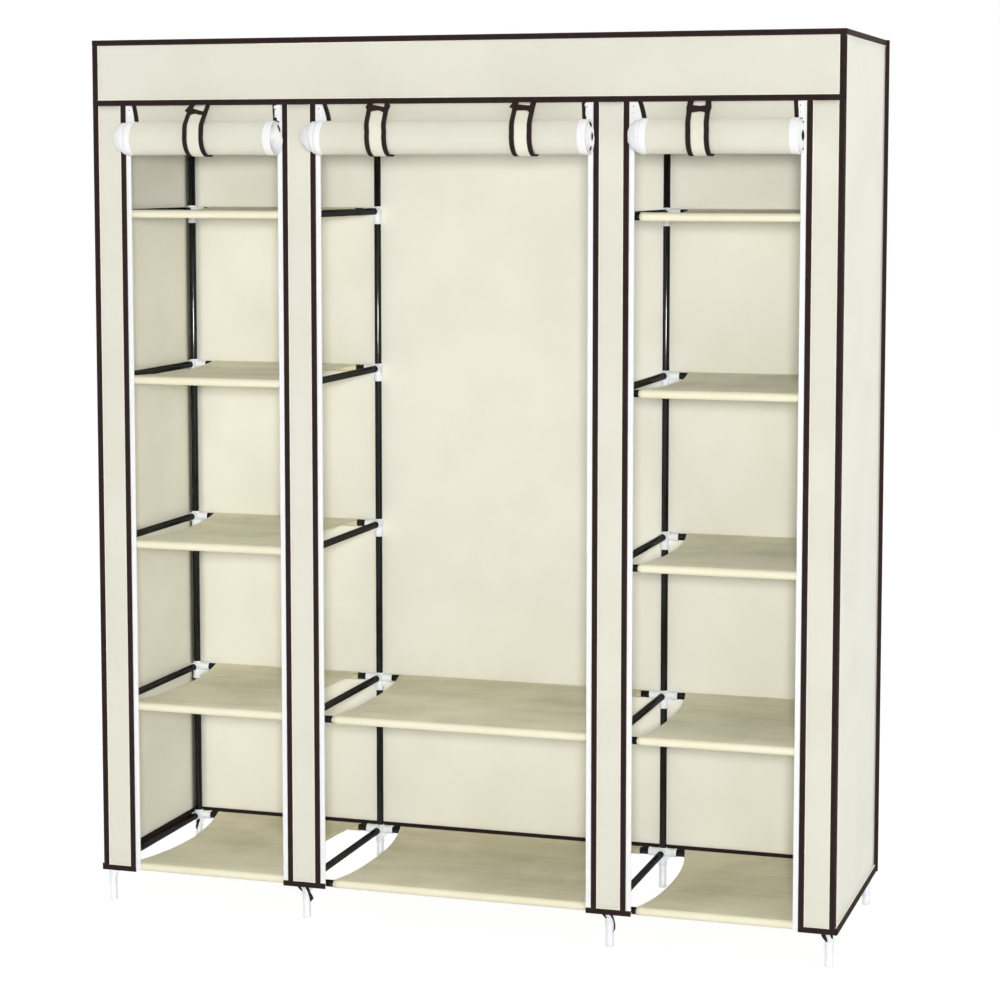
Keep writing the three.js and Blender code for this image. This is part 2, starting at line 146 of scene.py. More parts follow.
# Each strap's middle over the roll and at its seam, and its tab
STRAPS = {
    "left": [(-0.503, -0.519, LEFT_TAB)],
    "middle": [(-0.128, -0.147, NEAR_TAB), (0.158, 0.145, FAR_TAB)],
    "right": [(0.493, 0.481, RIGHT_TAB)],
}

# Zips: the pitch and size of the teeth, and the sizes of a slider and its puller
TOOTH_PITCH, TOOTH_DEPTH, TOOTH_HEIGHT = 0.003, 0.0011, 0.0008
SLIDER_TOP, SLIDER_WIDTH, SLIDER_HEIGHT = BAND - 0.0023, 0.0094, 0.013
PULLER_WIDTH, PULLER_HEIGHT, PULLER_HOLE = 0.0055, 0.0235, 0.0015

# Ties at the feet: the column, then places across and down from the hem there, and widths, in mm
TIES = [
    (1, [(-12, -3, 6), (-9, 3, 7), (-5, 9, 3)]),
    (1, [(4, -3, 7), (8, 4, 7), (10, 10, 5), (13, 16, 8), (15, 22, 9), (13, 29, 2)]),
    (2, [(-10, -3, 6), (-7, 3, 6), (-3, 8, 3)]),
    (2, [(4, -3, 6), (8, 3, 5), (11, 9, 3), (13, 18, 3), (13, 27, 3), (10, 33, 2)]),
    (3, [(-9, -3, 8), (-8, 4, 9), (-5, 10, 7), (-2, 15, 2)]),
    (3, [(5, -3, 6), (7, 3, 5), (8, 8, 2)]),
]
# The tie of the left rear corner: across from the post, its height and its width, in mm
CORNER_TIE = [(-2, 76, 5), (1, 70, 8), (3, 62, 8), (1, 54, 5), (-1, 47, 5), (0, 42, 2)]


def placed(name, data):
    """An object made of this data, in the scene."""
    made = bpy.data.objects.new(name, data)
    bpy.context.scene.collection.objects.link(made)
    return made


# Camera
view = bpy.data.cameras.new("view")
view.lens, view.sensor_width, view.shift_y = 91.53, 36, -0.09
camera = placed("view", view)
camera.location = (1.5455, -4.7863, 1.488)
camera.rotation_euler = (math.radians(90 - 5.425), 0, math.radians(17.501))
bpy.context.scene.camera = camera


class Sum:
    """A node's output to reckon with: each step is one Math node."""

    def __init__(self, finish, socket):
        self.finish, self.socket = finish, socket

    def other(self, output):
        """Another output of the same node."""
        return Sum(self.finish, self.socket.node.outputs[output])

    def maths(self, kind, *others, clamp=False):
        values = dict(enumerate((self, *others)))
        return self.finish.node("ShaderNodeMath", {"operation": kind, "use_clamp": clamp}, values)

    def __add__(self, other):
        return self.maths("ADD", other)

    def __mul__(self, other):
        return self.maths("MULTIPLY", other)

    def __sub__(self, other):
        return self.maths("SUBTRACT", other)

    def __abs__(self):
        return self.maths("ABSOLUTE")


class Finish:
    """A material, or the world, written as sums of its nodes' outputs."""

    def __init__(self, name, block=None):
        self.block = block or bpy.data.materials.new(name)
        self.block.use_nodes = True
        self.tree = self.block.node_tree
        self.tree.nodes.clear()

    def node(self, kind, settings=None, values=None, output=0):
        """A node with its settings, and the values or links of its sockets."""
        made = self.tree.nodes.new(kind)
        for key, value in (settings or {}).items():
            setattr(made, key, value)
        for key, value in (values or {}).items():
            if isinstance(value, Sum):
                self.tree.links.new(value.socket, made.inputs[key])
            else:
                made.inputs[key].default_value = value
        return Sum(self, made.outputs[output]) if made.outputs else None

    def places(self):
        return self.node("ShaderNodeTexCoord", output="Object")

    def parts(self, vector):
        """A vector's first two parts."""
        across = self.node("ShaderNodeSeparateXYZ", values={0: vector})
        return across, across.other(1)

    def strip(self):
        """Where a point lies along and across its tape, in metres."""
        return self.parts(self.node("ShaderNodeAttribute", {"attribute_name": "strip"}, output="Vector"))

    def stretched(self, scale):
        return self.node("ShaderNodeMapping", values={0: self.places(), "Scale": scale})

    def noise(self, scale, detail=3.0, where=None, roughness=0.5):
        values = {"Scale": scale, "Detail": detail, "Roughness": roughness, "Vector": where or self.places()}
        return self.node("ShaderNodeTexNoise", values=values)

    def mixed(self, share, one, other):
        return self.node("ShaderNodeMix", {"data_type": "RGBA"}, {0: share, 6: one, 7: other}, 2)

    def ranged(self, value, low, high, to_low=0.0, to_high=1.0):
        values = {0: value, 1: low, 2: high, 3: to_low, 4: to_high}
        return self.node("ShaderNodeMapRange", {"interpolation_type": "SMOOTHSTEP"}, values)

    def bump(self, height, distance, strength, after=None):
        values = {"Height": height, "Distance": distance, "Strength": strength}
        if after:
            values["Normal"] = after
        return self.node("ShaderNodeBump", values=values)

    def background(self):
        """1 for the rays that show the background: the camera's, reflections and those through glass."""
        path = self.node("ShaderNodeLightPath", output="Is Camera Ray")
        shiny = path.maths("MAXIMUM", path.other("Is Glossy Ray"))
        return shiny.maths("MAXIMUM", path.other("Is Transmission Ray"))

    def surface(self, colour, roughness, bump, **sockets):
        values = {"Base Color": colour, "Roughness": roughness, "Normal": bump}
        values.update({key.replace("_", " "): value for key, value in sockets.items()})
        shader = self.node("ShaderNodeBsdfPrincipled", values=values)
        self.node("ShaderNodeOutputMaterial", values={"Surface": shader})
        return self.block


def rgb(red, green, blue):
    """A colour as a screen shows it, from 0 to 255, as a shader reads it."""
    shares = (c / 255 for c in (red, green, blue))
    linear = [v / 12.92 if v <= 0.04045 else ((v + 0.055) / 1.055) ** 2.4 for v in shares]
    return (*linear, 1.0)


def nonwoven(name, light, dark, streak=0.0, sheen=0.15):
    """Pressed, unwoven cloth: soft clouds in the colour, fine fibres, and the dots that the press leaves."""
    f = Finish(name)
    clouds = f.noise(7.0)
    fibres = f.noise(420.0, 2.0, roughness=0.7)
    cells = {"Scale": 620.0, "Vector": f.places()}
    dots = f.node("ShaderNodeTexVoronoi", {"feature": "DISTANCE_TO_EDGE"}, cells)
    share = f.ranged(clouds, 0.35, 0.7, 0.0, 0.55) + (fibres - 0.5) * 0.5
    if streak:
        # A shelf's cloth: drawn lines, and painted shade and light of soft folds; painted shade makes it
        # darker to the back and in the middle bay
        lines = f.noise(1.0, 4.0, f.stretched((5.0, 210.0, 60.0)), 0.6)
        painted_fold_shade = f.noise(1.0, 2.0, f.stretched((3.0, 14.0, 3.0)))
        across, depth = f.parts(f.places())
        share = share + (lines - 0.5) * streak + (painted_fold_shade - 0.5) * streak
        share = share + f.ranged(depth, -0.12, 0.25, -0.15, 0.35)
        share = share + f.ranged(abs(across), 0.30, 0.33, 0.25, 0.0)
    colour = f.mixed(share.maths("ADD", 0.0, clamp=True), light, dark)
    relief = f.bump(dots.maths("MINIMUM", 0.12) * 3.0 + fibres * 0.5, 0.0004, 0.35)
    relief = f.bump(clouds, 0.004, 0.12, relief)
    return f.surface(colour, 0.9, relief, Sheen_Weight=sheen, Sheen_Roughness=0.5, Specular_IOR_Level=0.25)


def wave(value, pitch):
    return (value * (2 * math.pi / pitch)).maths("SINE")


def woven(name, light, dark, rib, thread=None):
    """Ribbed tape, with a row of stitches along each edge where it has a thread."""
    f = Finish(name)
    run, across = f.strip()
    weave = wave(run, rib) * wave(across, rib * 0.8)
    worn = f.noise(60.0, 4.0)
    colour = f.mixed(f.ranged(weave + worn * 2.0, 0.2, 2.4), dark, light)
    height = weave * 0.5
    if thread:
        seam_in, stitch_pitch = 0.0017, 0.0034
        row = f.ranged(abs(abs(across) - (EDGE - seam_in)), 0.0002, 0.0005, 1.0, 0.0)
        stitch = row * f.ranged(wave(run, stitch_pitch), -0.5, -0.1)
        colour = f.mixed(stitch, colour, thread)
        height = height + stitch * 2.5
    return f.surface(colour, 0.85, f.bump(height, 0.00025, 0.5), Specular_IOR_Level=0.06)


def enamel(name, colour):
    """Black paint on steel tube, glossy where it faces the eye, with faint draw lines and dust."""
    f = Finish(name)
    dust = f.noise(35.0, 5.0)
    drawn = f.noise(1.0, 2.0, f.stretched((900.0, 900.0, 12.0)))
    tone = f.mixed(f.ranged(dust, 0.45, 0.8, 0.0, 0.3), colour, rgb(38, 36, 34))
    rough = f.ranged(dust, 0.3, 0.75, 0.2, 0.27) + (drawn - 0.5) * 0.03
    facing = f.node("ShaderNodeLayerWeight", values={"Blend": 0.5}, output="Facing")
    gloss = {"Coat_Weight": f.ranged(facing, 0.2, 0.8, 0.6, 0.12), "Coat_Roughness": 0.08}
    return f.surface(tone, rough, f.bump(drawn, 0.00005, 0.05), Specular_IOR_Level=0.0, **gloss)


def moulded(name, light, dark, roughness=0.38, glow=0.0):
    """Moulded plastic, a little uneven in gloss and with a fine skin."""
    f = Finish(name)
    flow = f.noise(90.0)
    skin = f.noise(900.0, 2.0)
    tone = f.mixed(f.ranged(flow, 0.3, 0.75), light, dark)
    rough = f.ranged(flow, 0.3, 0.7, roughness - 0.06, roughness + 0.08)
    inside = {"Subsurface_Weight": glow, "Subsurface_Scale": 0.004} if glow else {}
    return f.surface(tone, rough, f.bump(skin, 0.0001, 0.15), Specular_IOR_Level=0.45, **inside)


cover_cloth = nonwoven("cover_cloth", rgb(224, 222, 208), rgb(217, 215, 199))
# Painted light: the back, top and sides take the cover's cloth written lighter, against the shade inside the
# bays
lightened_shell_cloth = nonwoven("lightened_shell_cloth", rgb(243, 241, 228), rgb(235, 233, 218))
# Painted shade: the doors' flat parts and rolls take the cover's cloth written a little darker, for the
# shade under the band
shaded_door_cloth = nonwoven("shaded_door_cloth", rgb(222, 220, 205), rgb(212, 209, 192))
shelf_cloth = nonwoven("shelf_cloth", rgb(236, 231, 198), rgb(200, 193, 154), streak=1.1, sheen=0.3)
# Painted light: a lighter copy of the shelf cloth for the front sleeves, which face the lamps
lit_sleeve_cloth = nonwoven("lit_sleeve_cloth", rgb(243, 238, 212), rgb(235, 229, 198), sheen=0.05)
strap_cloth = nonwoven("strap_cloth", rgb(233, 230, 214), rgb(222, 218, 200))
binding_tape = woven("binding_tape", rgb(54, 42, 40), rgb(40, 30, 28), 0.0018, rgb(76, 62, 56))
zip_tape = woven("zip_tape", rgb(250, 250, 250), rgb(240, 240, 241), 0.0014)
selvage = woven("selvage", rgb(250, 246, 238), rgb(240, 234, 222), 0.0020)
zip_teeth = moulded("zip_teeth", rgb(246, 246, 246), rgb(236, 236, 238))
black_enamel = enamel("black_enamel", rgb(16, 15, 15))
white_plastic = moulded("white_plastic", rgb(245, 247, 250), rgb(233, 237, 241), 0.34, 0.1)
slider_plastic = moulded("slider_plastic", rgb(248, 248, 247), rgb(238, 238, 238), 0.3, 0.1)
# Painted shade: a dark finish for discs set in a slider's puller hole and where the puller hangs in its loop
painted_hole_shade = moulded("painted_hole_shade", rgb(48, 40, 38), rgb(36, 30, 28), 0.7)
TRIMS = [binding_tape, selvage]


def spots(x, y, z):
    """Points from their three parts, each a row or a grid of numbers, or one number for all."""
    return np.stack(np.broadcast_arrays(x, y, z), -1).astype(float)


def run_of(path):
    """How far along a path each of its points lies."""
    return np.concatenate([[0], np.cumsum(np.linalg.norm(np.diff(path, axis=0), axis=1))])


def heading(path):
    """The way that a path goes at each of its points."""
    ahead = np.gradient(path, axis=0)
    return ahead / np.linalg.norm(ahead, axis=1)[:, None]


class Shape:
    """A piece as it grows: its points and faces, each face's finish, each point's place on its tape."""

    def __init__(self):
        self.points, self.places, self.faces, self.coats = [], [], [], []

    def grid(self, points, places=0, coat=0, ring=False, lids=False):
        """Rows of points joined into a skin: ring joins each row's ends, and lids close both end rows.

        coat is the number of one finish, or of a finish for each row or column.
        """
        points = np.asarray(points, float)
        rows, columns = points.shape[:2]
        start = len(self.points)
        self.points += points.reshape(-1, 3).tolist()
        self.places += np.broadcast_to(places, points.shape).reshape(-1, 3).tolist()
        coats = np.broadcast_to(coat, (rows, columns))
        for row in range(rows - 1):
            near, far = start + row * columns, start + (row + 1) * columns
            for column in range(columns if ring else columns - 1):
                beside = (column + 1) % columns
                self.faces.append((near + column, near + beside, far + beside, far + column))
                self.coats.append(int(coats[row, column]))
        if lids:
            end = start + rows * columns - 1
            self.faces += [tuple(range(start, start + columns)), tuple(range(end, end - columns, -1))]
            self.coats += [int(coats[0, 0])] * 2

    def turned(self, start, end, profile, sides=20):
        """A round body from start towards end, through (distance, radius) pairs."""
        ahead = np.subtract(end, start)
        ahead = ahead / np.linalg.norm(ahead)
        beside = np.cross(ahead, Z if abs(ahead[2]) < 0.9 else X)
        beside /= np.linalg.norm(beside)
        above = np.cross(beside, ahead)
        turn = np.arange(sides) / sides * 2 * math.pi
        circle = np.cos(turn)[:, None] * beside + np.sin(turn)[:, None] * above
        rows = [start + ahead * distance + circle * radius for distance, radius in profile]
        self.grid(rows, ring=True, lids=True)

    def tape(self, path, across, out, width, rise, back, coat=0):
        """A tape with rounded edges along a path: rise is its height on the out side, back on the other."""
        path = np.asarray(path, float)
        half = np.broadcast_to(width, len(path)) / 2
        across, out = np.broadcast_to(across, path.shape), np.broadcast_to(out, path.shape)
        rim = [(0.3, 0.96), (0.8, 1), (0.96, 0.75), (1, 0.25)]
        edge = 0.25 * min(back, rise)
        outline = [(-at, high * rise) for at, high in reversed(rim)]
        outline += [(at, high * rise) for at, high in rim]
        outline += [(1, -edge), (0.8, -back), (-0.8, -back), (-1, -edge)]
        sideways, height = np.array(outline).T
        sideways = sideways[None] * half[:, None]
        points = path[:, None] + sideways[..., None] * across[:, None] + height[None, :, None] * out[:, None]
        self.grid(points, spots(run_of(path)[:, None], sideways, 0), coat, ring=True, lids=True)

    def block(self, low, high, draft):
        """A small block whose front is drawn in a little."""
        (x0, y0, z0), (x1, y1, z1) = low, high
        rear = [(x0, y1, z0), (x1, y1, z0), (x1, y1, z1), (x0, y1, z1)]
        x0, x1, z1 = x0 + draft, x1 - draft, z1 - draft
        near = [(x0, y0, z0 + draft), (x1, y0, z0 + draft), (x1, y0, z1), (x0, y0, z1)]
        self.grid([rear, near], ring=True, lids=True)

    def piece(self, name, finishes, sharp=35, closed=True):
        mesh = bpy.data.meshes.new(name)
        mesh.from_pydata(self.points, [], self.faces)
        for finish in finishes:
            mesh.materials.append(finish)
        mesh.polygons.foreach_set("material_index", self.coats)
        strip = mesh.attributes.new("strip", "FLOAT_VECTOR", "POINT")
        strip.data.foreach_set("vector", np.array(self.places, np.float32).ravel())
        if closed:
            work = bmesh.new()
            work.from_mesh(mesh)
            bmesh.ops.recalc_face_normals(work, faces=work.faces)
            work.to_mesh(mesh)
            work.free()
        mesh.shade_smooth()
        mesh.set_sharp_from_angle(angle=math.radians(sharp))
        return placed(name, mesh)


def dressed(piece, nodes=(), body="root"):
    """Puts a piece on its body, in the place of its nodes."""
    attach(piece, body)
    if nodes:
        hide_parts(*nodes)
    return piece


def steel(shape, name, *nodes):
    dressed(shape.piece(name, [black_enamel]), nodes)


def plastic(shape, name, *nodes):
    dressed(shape.piece(name, [white_plastic]), nodes)


def thickened(piece, thickness=CLOTH):
    cloth = piece.modifiers.new("thickness", "SOLIDIFY")
    cloth.thickness, cloth.offset = thickness, 0.0
    return piece


def ripple(seed, across, down, height, waves=5):
    """Gentle unevenness of a hanging cloth at each place, with the same pattern each time."""
    pick = np.random.default_rng(seed)
    total = np.zeros(np.broadcast(across, down).shape)
    for _ in range(waves):
        a, b = pick.uniform(1.5, 9.0), pick.uniform(-9.0, 9.0) * 0.35
        total = total + np.sin(a * across * 2 + b * down * 2 + pick.uniform(0, 6.28)) / (1 + a * 0.25)
    return height * total / 2.2


def along(start, end, step=0.05):
    reach = np.subtract(end, start)
    count = max(2, int(np.linalg.norm(reach) / step) + 1)
    return start + reach * np.linspace(0, 1, count)[:, None]


# Tube frame
def socket_profile(length):
    """A socket's outside, its rim at the mouth, and the bore behind the mouth."""
    rim, neck = SOCKET + RIM, length - RIM_LENGTH
    outside = [(0, SOCKET), (neck - RIM_SLOPE, SOCKET), (neck, rim), (length - RIM_EDGE, rim)]
    return outside + [(length, SOCKET + RIM * 0.2), (length, TUBE + PLAY), (length - BORE, TUBE + PLAY)]


def web(shape, x, y, z, side):
    """The stiffening web between a connector's arm and its lower socket."""
    steps = np.linspace(0, 1, 8)
    reach = WEB_REACH * (1 - steps) ** WEB_CURVE
    drop = z - SOCKET * 0.6 - WEB_DROP * steps**WEB_CURVE
    outer = spots(x + side * (reach + OVERLAP), y, drop)
    inner = spots(x, y, drop)
    half = WEB_HALF * Y
    rows = np.stack([inner - half, outer - half * 0.8, outer + half * 0.8, inner + half], 1)
    shape.grid(rows, ring=True, lids=True)


def connector(shape, x, y, z, sides, collar=True):
    inwards = -1 if y > MIDDLE else 1
    for side in sides:
        shape.turned((x - side * OVERLAP, y, z), (x + side, y, z), socket_profile(ARM))
    if len(sides) == 1:
        shape.turned((x - sides[0] * SOCKET, y, z), (x, y, z), CAP)
    shape.turned((x, y, z), (x, y, z - 1), socket_profile(DROP))
    shape.turned((x, y - inwards * RIM, z), (x, y + inwards, z), socket_profile(INWARD))
    shape.turned((x, y, z), (x, y, z + 1), COLLAR if collar else CROWN)
    for side in sides:
        web(shape, x, y, z, side)


def socket_sides(column, level):
    """The sides of a connector's arms: the middle bay has shelves at its two lowest levels only."""
    if column == 0:
        return (1,)
    if column == 3:
        return (-1,)
    if level < 2 or level == len(LEVELS):
        return (-1, 1)
    return (-1,) if column == 1 else (1,)


def bar(shape, start, end):
    """A tube with softened ends."""
    length = float(np.linalg.norm(np.subtract(end, start)))
    soft = 0.0008
    near = [(0, TUBE - soft), (soft * 0.3, TUBE - soft * 0.3), (soft, TUBE)]
    far = [(length - at, radius) for at, radius in reversed(near)]
    shape.turned(start, end, near + far, 24)


def side_rail(shape, x, z):
    bar(shape, (x, ROWS[0] + END_GAP, z), (x, ROWS[1] - END_GAP, z))


for column, (x, name) in enumerate(zip(COLUMNS, UPRIGHTS)):
    tubes, connectors, feet = Shape(), Shape(), Shape()
    for y in ROWS:
        bar(tubes, (x, y, POST_FOOT), (x, y, POST_TOP))
        feet.turned((x, y, 0), (x, y, 1), FOOT_LINE, 24)
        for level, z in enumerate(LEVELS):
            connector(connectors, x, y, z, socket_sides(column, level))
    for z in LEVELS:
        side_rail(tubes, x, z)
    node = name + "_frame"
    steel(tubes, name + "_tubes", node)
    plastic(connectors, name + "_connectors", node)
    plastic(feet, name + "_feet", node)

tubes, connectors = Shape(), Shape()
for y in ROWS:
    bar(tubes, (COLUMNS[0] + END_GAP, y, TOP_AXIS), (COLUMNS[3] - END_GAP, y, TOP_AXIS))
    for column, x in enumerate(COLUMNS):
        connector(connectors, x, y, TOP_AXIS, socket_sides(column, len(LEVELS)), collar=False)
for x in COLUMNS:
    side_rail(tubes, x, TOP_AXIS)
for x in COLUMNS[1:3]:
    connectors.turned((x, MIDDLE - SADDLE / 2, TOP_AXIS), (x, MIDDLE, TOP_AXIS), SADDLE_LINE)
    connectors.turned((x, MIDDLE, TOP_AXIS), (0, MIDDLE, TOP_AXIS), socket_profile(ROD_ARM))
steel(tubes, "top_tubes", "top_frame")
plastic(connectors, "top_connectors", "top_frame")

rod = Shape()
bar(rod, (COLUMNS[1] + RAIL_GAP, MIDDLE, TOP_AXIS), (COLUMNS[2] - RAIL_GAP, MIDDLE, TOP_AXIS))
steel(rod, "hanging_rod_tube", "hanging_rod")


# Shelves
def shelf_path(z, steps=22):
    """A shelf cloth's line in depth and height from lap to lap, and how many points each wrap has."""
    slack, lap_end, lap_start = 0.0003, (0.017, -0.0024), (0.012, -0.0019)
    radius = TUBE + slack + SKIN
    turns = np.radians(np.linspace(318, 12, 16))
    ring = np.stack([-radius * np.sin(turns), radius * np.cos(turns)], 1)
    lap = np.array([lap_end, lap_start]) + (0, radius)
    wrap = np.concatenate([lap, ring])
    front = wrap + (ROWS[0], z)
    share = np.linspace(0, 1, steps)
    sag = SAG * (1 - (2 * share - 1) ** 2)
    sheet = np.stack([ROWS[0] + (ROWS[1] - ROWS[0]) * share, z + radius - sag], 1)
    rear = (wrap * (-1, 1) + (ROWS[1], z))[::-1]
    return np.concatenate([front, sheet, rear]), len(front)


def shelf_points(bay, number, path, first, scoop, columns=44):
    """A shelf cloth's places, row by row from front to rear, and its width before its edges curve in."""
    column = list(BAYS).index(bay)
    x0, x1 = COLUMNS[column] + SHELF_END, COLUMNS[column + 1] - SHELF_END
    depth = path[:, 0]
    curve = scoop * np.clip(1 - ((depth - MIDDLE) / SCOOP_HALF) ** 2, 0, 1)
    left = x0 + SLEEVE_GAPS[bay] * np.clip(-depth / 0.17, 0, 1) + curve
    right = x1 - curve
    share = np.linspace(0, 1, columns)
    points = spots(left[:, None] + (right - left)[:, None] * share, path[:, :1], path[:, 1:])
    inside = np.clip(1 - np.abs((depth - MIDDLE) / 0.2), 0, 1)[:, None] ** 0.5
    sheet = np.zeros(len(path))
    sheet[first : len(path) - first] = 1
    seed = 40 + 10 * column + number
    across, back = points[..., 0], points[..., 1]
    crease = ripple(seed, across * 9, back * 26, 0.0007, 6) + ripple(seed + 5, across * 3, back * 9, 0.0011)
    edge = 1 - np.minimum(share, 1 - share)[None] * 2
    points[..., 2] += sheet[:, None] * inside * (crease - EDGE_DROP * edge**6)
    return points, x1 - x0


def shelf_hems(points, rows):
    """The hems along a shelf's two side edges, and the seams of its laps under the rails."""
    hems = Shape()
    for side, at in ((-1, 0), (1, points.shape[1] - 1)):
        line = points[list(rows), at] - side * HEM_WIDTH / 2 * X
        hems.tape(line, np.cross(heading(line), Z), Z, HEM_WIDTH, 0.0008, 0.0008)
    for row, inwards in ((0, 1), (len(points) - 1, -1)):
        seam = points[row] + (0, -inwards * LAP_WIDTH * 0.3, 0.0004)
        hems.tape(seam, Y, Z, LAP_WIDTH, 0.0005, 0.0005)
    return hems


def shelf(bay, number):
    scoop = LOW_SCOOP if number == 1 else SCOOP
    path, first = shelf_path(LEVELS[number - 1])
    points, width = shelf_points(bay, number, path, first, scoop)
    # Painted light: the front sleeves take the lighter copy of the shelf cloth
    sleeve = (np.arange(len(path)) < first) & (path[:, 0] < SLEEVE_REACH)
    skin = Shape()
    skin.grid(points, coat=sleeve[:, None])
    name = f"{bay}_bay_shelf_{number}"
    made = thickened(skin.piece(name + "_cloth", [shelf_cloth, lit_sleeve_cloth], 60, closed=False))
    dressed(made, [name])
    hems = shelf_hems(points, range(first, len(path) - first))
    stitched = dressed(hems.piece(name + "_hems", [shelf_cloth]))
    flat = (width, float(run_of(path)[-1]))
    area = flat[0] * flat[1] - 2 * (2 / 3) * scoop * (2 * SCOOP_HALF)


for (bay, levels), left, right in zip(BAYS.items(), COLUMNS, COLUMNS[1:]):
    for number, z in enumerate(LEVELS[:levels], 1):
        for row, y in zip(("front", "rear"), ROWS):
            node = f"{bay}_bay_{row}_rail_{number}"
            rail = Shape()
            bar(rail, (left + RAIL_GAP, y, z), (right - RAIL_GAP, y, z))
            steel(rail, node + "_tube", node)
        shelf(bay, number)


# Cover
def panel(name, low, high, normal, slack, seed, size=0.03, node="cover_front", finish=cover_cloth):
    """A flat part of the cover between two corners, a little slack; normal is the axis it faces."""
    sides = [(low[axis], high[axis]) for axis in range(3) if axis != normal]
    lines = [np.linspace(start, end, max(3, int((end - start) / size) + 2)) for start, end in sides]
    u, v = np.meshgrid(*lines, indexing="ij")
    from_edge = np.minimum.reduce([u - u.min(), u.max() - u, v - v.min(), v.max() - v])
    parts = [u, v]
    parts.insert(normal, low[normal] + np.clip(from_edge / HELD, 0, 1) ** 0.7 * ripple(seed, u, v, slack))
    skin = Shape()
    skin.grid(spots(*parts))
    made = thickened(skin.piece(name, [finish], closed=False))
    dressed(made, [node])
    return made, tuple(end - start for start, end in sides)


def bound(shape, start, end, across, out, width=BINDING, rise=0.0011, back=0.0006, lines=()):
    """A binding tape along a straight edge, with a pale selvage line on the sides asked for."""
    path, across = along(start, end), np.array(across, float)
    shape.tape(path, across, out, width, rise, back)
    for side in lines:
        shape.tape(path + across * side * (width / 2 + LINE / 2), across, out, LINE, rise * 0.55, 0.0004, 1)


def pale_line(shape, low, high, depth, height):
    """A selvage line by itself, level across the front."""
    shape.tape(along((low, depth, height), (high, depth, height)), Z, -Y, LINE, 0.0006, 0.0004, 1)


def level(shape, low, high, depth, height, out=-Y, **tape):
    bound(shape, (low, depth, height), (high, depth, height), Z, out, **tape)


def upright(shape, x, depth, across, out, foot=HEM, top=TOP, **tape):
    bound(shape, (x, depth, foot), (x, depth, top), across, out, **tape)


def front_trim():
    """The bindings of the front band and flaps."""
    trim = Shape()
    face, seam_face = FRONT - SKIN, FRONT - 0.0012
    seam, foot = BAND + EDGE - 0.001, HEM + EDGE - 0.001
    within = SIDE - BINDING
    level(trim, -SIDE, SIDE, face, TOP - EDGE)
    pale_line(trim, -within, within, face, TOP - BINDING - LINE / 2)
    level(trim, -SIDE, SIDE, seam_face, seam, rise=0.0012, back=0.0022)
    pale_line(trim, -within, within, seam_face, seam + EDGE + LINE / 2)
    for side in (-1, 1):
        upright(trim, side * (SIDE - EDGE), face, X, -Y, rise=0.0014, lines=(-side,))
    for name, (left, right) in FLAPS.items():
        for x, side, opening in ((left, 1, left > -SIDE), (right, -1, right < SIDE)):
            if opening:
                upright(trim, x + side * EDGE, face, X, -Y, top=FLAP_TOP, back=0.0016, lines=(side,))
        reach = TAPE if name.endswith("middle") else 0
        low, high = left - reach * (left > -SIDE), right + reach * (right < SIDE)
        level(trim, low, high, face, foot, rise=0.0013, back=0.002, lines=(1,))
    return trim


def back_trim():
    """The bindings of the sides and the back, inside the hem too."""
    trim = Shape()
    hem_width, hem_rise, inside = 0.014, 0.0042, 0.0018
    inner = {"width": 0.0215, "rise": 0.0006, "back": 0.0002}
    for side in (-1, 1):
        out = X * side
        at = side * (SIDE + SKIN)
        bound(trim, (at, FRONT, TOP - EDGE), (at, BACK, TOP - EDGE), Z, out, lines=(-1,))
        ends = (at, FRONT, HEM + EDGE), (at, BACK, HEM + EDGE)
        bound(trim, *ends, Z, out, hem_width, hem_rise, 0.0024, (1,))
        flange, face = (out + Y) / math.sqrt(2), (out - Y) / math.sqrt(2)
        x, y, _ = out * (SIDE - 0.001) + Y * (BACK - 0.001) + flange * EDGE
        upright(trim, x, y, flange, face, rise=0.0013, back=0.0013)
        upright(trim, side * (SIDE - EDGE), BACK + SKIN, X, Y, width=0.004)
        upright(trim, side * (SIDE + 0.0002), FRONT + 0.002, Y, out, width=0.004)
    level(trim, -SIDE, SIDE, BACK, TOP - EDGE, Y, lines=(-1,))
    level(trim, -SIDE, SIDE, BACK, HEM + EDGE, Y, rise=0.0014, back=0.0016, lines=(1,))
    level(trim, -SIDE, SIDE, BACK - inside, HEM + BINDING, **inner)
    for side in (-1, 1):
        at = side * (SIDE - inside)
        ends = (at, FRONT + 0.004, HEM + BINDING), (at, BACK - 0.004, HEM + BINDING)
        bound(trim, *ends, Z, -side * X, **inner)
    return trim


front_bound = dressed(front_trim().piece("front_bindings", TRIMS))
dressed(back_trim().piece("side_and_back_bindings", TRIMS))

wide, low, high = SIDE - SKIN, HEM + 0.001, TOP - SKIN
front, back = FRONT + SKIN, BACK - SKIN
# Painted light: the shell panels take the lightened copy of the cover cloth
shell = {"node": "cover_shell", "finish": lightened_shell_cloth}
hung = [
    panel("cover_back", (-wide, back, low), (wide, back, high), 1, 0.0014, 3, **shell),
    panel("cover_top", (-wide, front, high), (wide, back, high), 2, 0.0012, 5, **shell),
]
for x, name, seed in ((-wide, "left", 8), (wide, "right", 9)):
    hung.append(panel(f"cover_{name}_side", (x, front, low), (x, back, high), 0, 0.0013, seed, **shell))

band_face = FRONT - 0.0006
made, flat = panel("header_band", (-wide, band_face, BAND), (wide, band_face, high), 1, 0.0006, 21, 0.02)
for name, (left, right) in FLAPS.items():
    corners = (left, front, low), (right, front, FLAP_TOP)
    made, flat = panel(f"{name}_flap", *corners, 1, 0.0005, 30 + len(name), 0.02)


def tooth_row(shape, path, side):
    """Interlocking teeth of a zip along the free edge of its tape."""
    for i, (x, y, z) in enumerate(path):
        reach = 0.0016 if i % 2 else 0.0012
        low, high = sorted((x - side * 0.0009, x + side * reach))
        half = np.array([0, TOOTH_DEPTH, TOOTH_HEIGHT])
        shape.block((low, y, z) - half, (high, y, z) + half, 0.0003)


